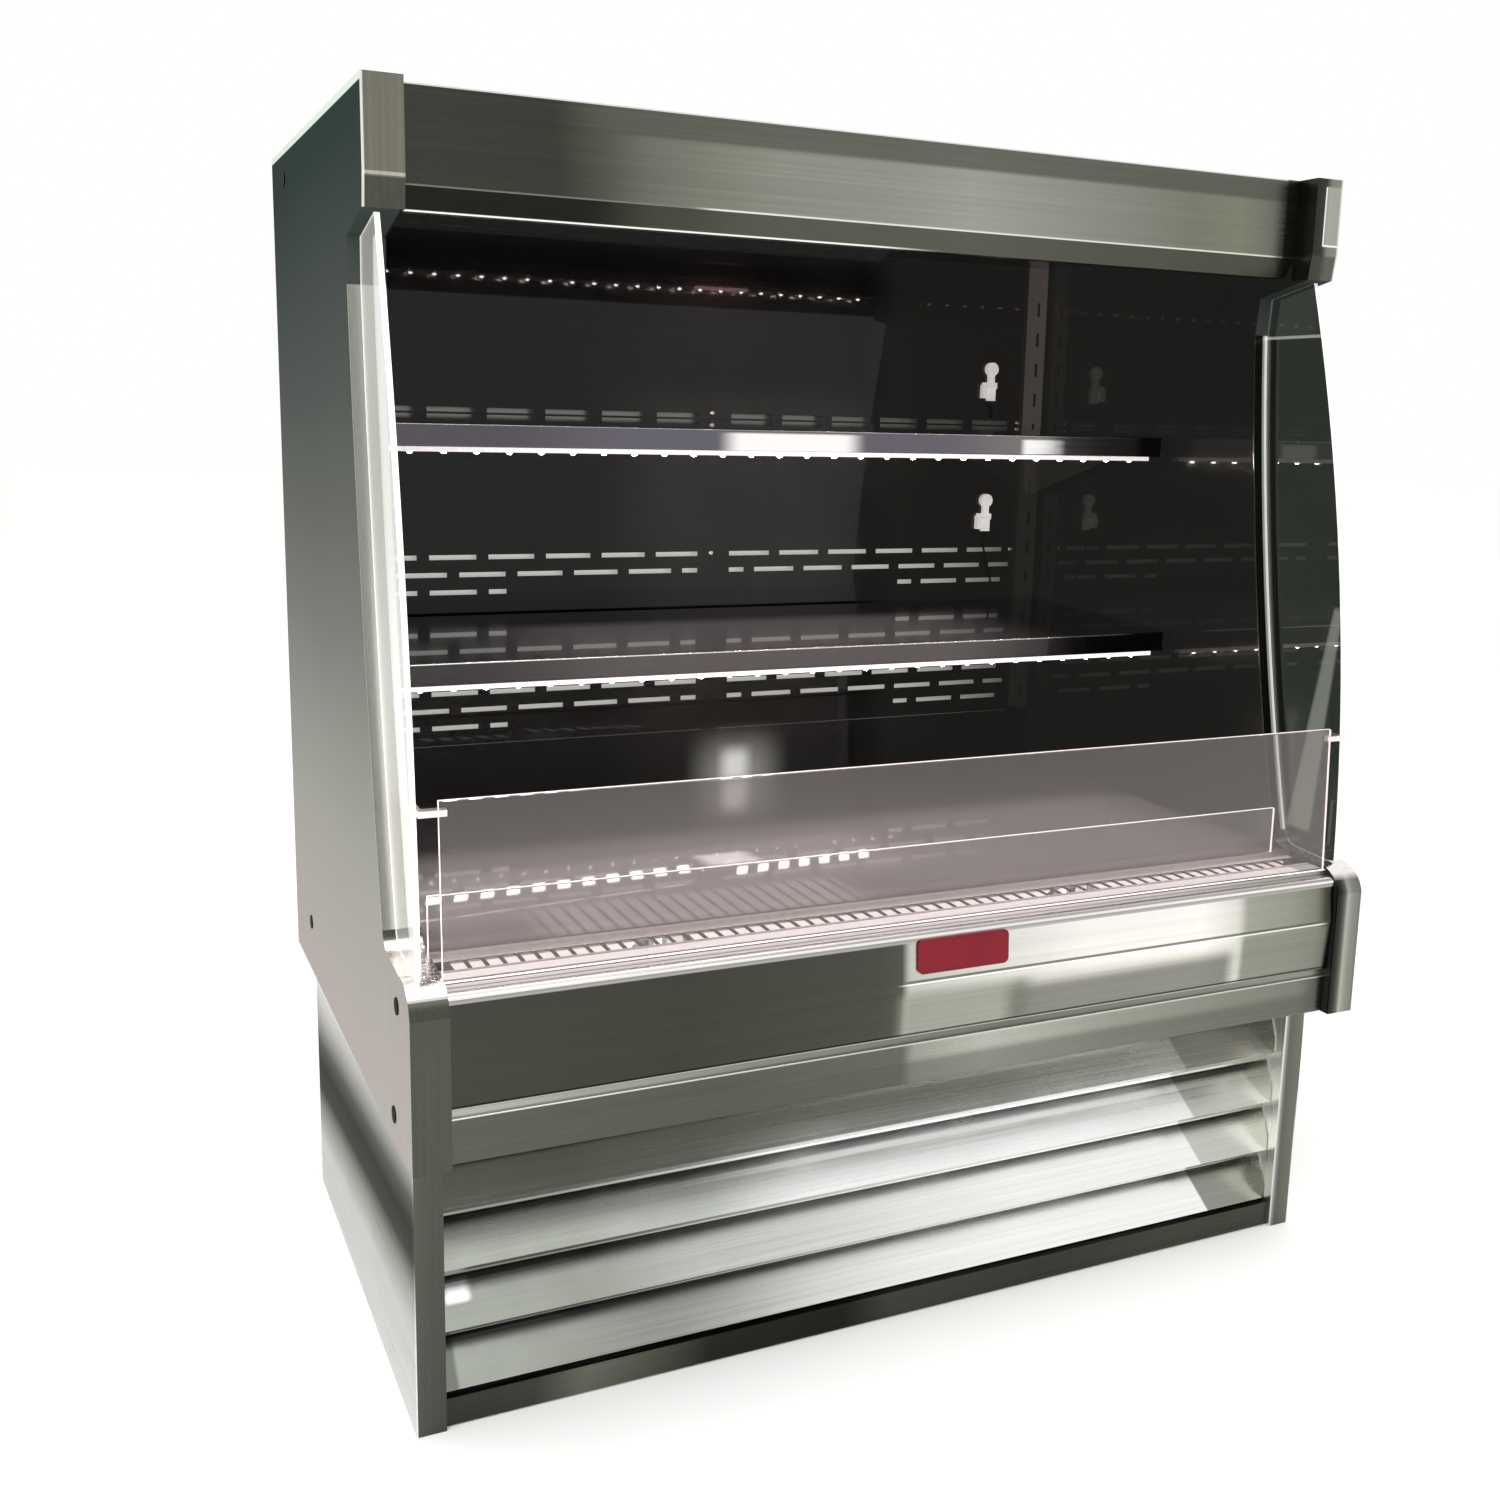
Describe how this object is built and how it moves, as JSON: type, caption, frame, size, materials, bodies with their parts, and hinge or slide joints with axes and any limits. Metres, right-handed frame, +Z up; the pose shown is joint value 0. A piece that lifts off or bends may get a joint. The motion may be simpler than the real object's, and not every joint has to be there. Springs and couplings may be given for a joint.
{
  "type": "open multideck display fridge",
  "caption": "Stainless open-front refrigerated display case with lit lift-off shelves, glass ends, slotted air grille, lift-out deck and louvred machine compartment.",
  "frame": {"origin": "centre of the overall footprint at floor level", "axes": "+X to the right seen from the front, +Y from the front to the back, +Z up"},
  "size_m": [1.298, 0.815, 1.474],
  "materials": {
    "stainless": "brushed stainless sheet, reflective",
    "foam_panel": "stainless-skinned foamed panel",
    "inner_steel": "polished stainless lining",
    "galvanised": "zinc-coated sheet",
    "glass_clear": "clear toughened glass",
    "lamp": "light strip with clear lens",
    "comb": "moulded air comb",
    "black_enamel": "black enamel",
    "rubber": "black rubber",
    "fins": "aluminium fins",
    "copper": "copper tube",
    "white_plastic": "white moulded plastic",
    "black_plastic": "black moulded plastic",
    "motor_grey": "grey enamel"
  },
  "bodies": {
    "cabinet": {"base_frame": "stainless", "base_sides": "stainless", "kick_plate": "stainless", "rear_grille": "galvanised", "machine_tray": "galvanised", "end_panel_left": "foam_panel", "end_panel_right": "foam_panel", "end_trim_left": "stainless", "end_trim_right": "stainless", "post_trims": "stainless", "canopy_caps": "stainless", "end_glass_left": "glass_clear", "end_glass_right": "glass_clear", "canopy_panel": "stainless", "canopy_lamp": "lamp", "top_panel": "foam_panel", "ceiling_panel": "inner_steel", "air_comb": "comb", "back_panel": "foam_panel", "rear_duct_panel": "inner_steel", "lower_duct_panel": "inner_steel", "shelf_standards": "inner_steel", "shelf_brackets": "inner_steel", "lamp_sockets": "white_plastic", "lamp_leads": "rubber", "tank": "foam_panel", "sill_rail": "stainless", "front_glass": "glass_clear", "glass_clips": "stainless", "inner_glass": "glass_clear", "deck_support": "stainless", "front_panel": "stainless", "lower_rail": "stainless", "compressor": "black_enamel", "compressor_mounts": "rubber", "condenser_coil": "fins", "condenser_shroud": "galvanised", "condenser_motor": "motor_grey", "evaporator_coil": "fins", "evaporator_fan_plate": "galvanised", "evaporator_motors": "motor_grey", "refrigerant_lines": "copper", "drain_pipe": "white_plastic", "condensate_pan": "galvanised", "control_box": "galvanised", "end_plugs": "black_plastic"},
    "louver": {"louver_panel": "stainless"},
    "deck_left": {"deck_pan_left": "inner_steel"},
    "deck_right": {"deck_pan_right": "inner_steel"},
    "grille": {"return_grille": "inner_steel"},
    "upper_shelf": {"shelf_upper": "inner_steel", "shelf_upper_lamp": "lamp"},
    "lower_shelf": {"shelf_lower": "inner_steel", "shelf_lower_lamp": "lamp"},
    "fan_condenser": {"condenser_fan": "black_plastic"},
    "fan_left": {"evaporator_fan_left": "black_plastic"},
    "fan_right": {"evaporator_fan_right": "black_plastic"},
    "knob": {"thermostat_knob": "black_plastic"},
    "switch": {"light_switch": "black_plastic"}
  },
  "joints": [
    {"name": "louver_pull", "type": "slide", "parent": "cabinet", "child": "louver", "axis": [0, -1, 0], "range_m": [0, 0.15]},
    {"name": "deck_left_lift", "type": "slide", "parent": "cabinet", "child": "deck_left", "axis": [0, 0, 1], "range_m": [0, 0.08]},
    {"name": "deck_right_lift", "type": "slide", "parent": "cabinet", "child": "deck_right", "axis": [0, 0, 1], "range_m": [0, 0.08]},
    {"name": "grille_lift", "type": "slide", "parent": "cabinet", "child": "grille", "axis": [0, 0, 1], "range_m": [0, 0.05]},
    {"name": "upper_shelf_lift", "type": "slide", "parent": "cabinet", "child": "upper_shelf", "axis": [0, 0, 1], "range_m": [0, 0.06]},
    {"name": "lower_shelf_lift", "type": "slide", "parent": "cabinet", "child": "lower_shelf", "axis": [0, 0, 1], "range_m": [0, 0.06]},
    {"name": "condenser_fan_spin", "type": "hinge", "parent": "cabinet", "child": "fan_condenser", "pos_m": [-0.26, -0.1465, 0.17125], "axis": [0, 1, 0], "continuous": true},
    {"name": "left_fan_spin", "type": "hinge", "parent": "cabinet", "child": "fan_left", "pos_m": [-0.3, -0.2175, 0.468], "axis": [0, 1, 0], "continuous": true},
    {"name": "right_fan_spin", "type": "hinge", "parent": "cabinet", "child": "fan_right", "pos_m": [0.3, -0.2175, 0.468], "axis": [0, 1, 0], "continuous": true},
    {"name": "thermostat_turn", "type": "hinge", "parent": "cabinet", "child": "knob", "pos_m": [0.472, -0.2475, 0.25], "axis": [0, -1, 0], "range_deg": [0, 270]},
    {"name": "switch_rock", "type": "hinge", "parent": "cabinet", "child": "switch", "pos_m": [0.522, -0.2355, 0.25], "axis": [1, 0, 0], "range_deg": [-16, 0]}
  ]
}
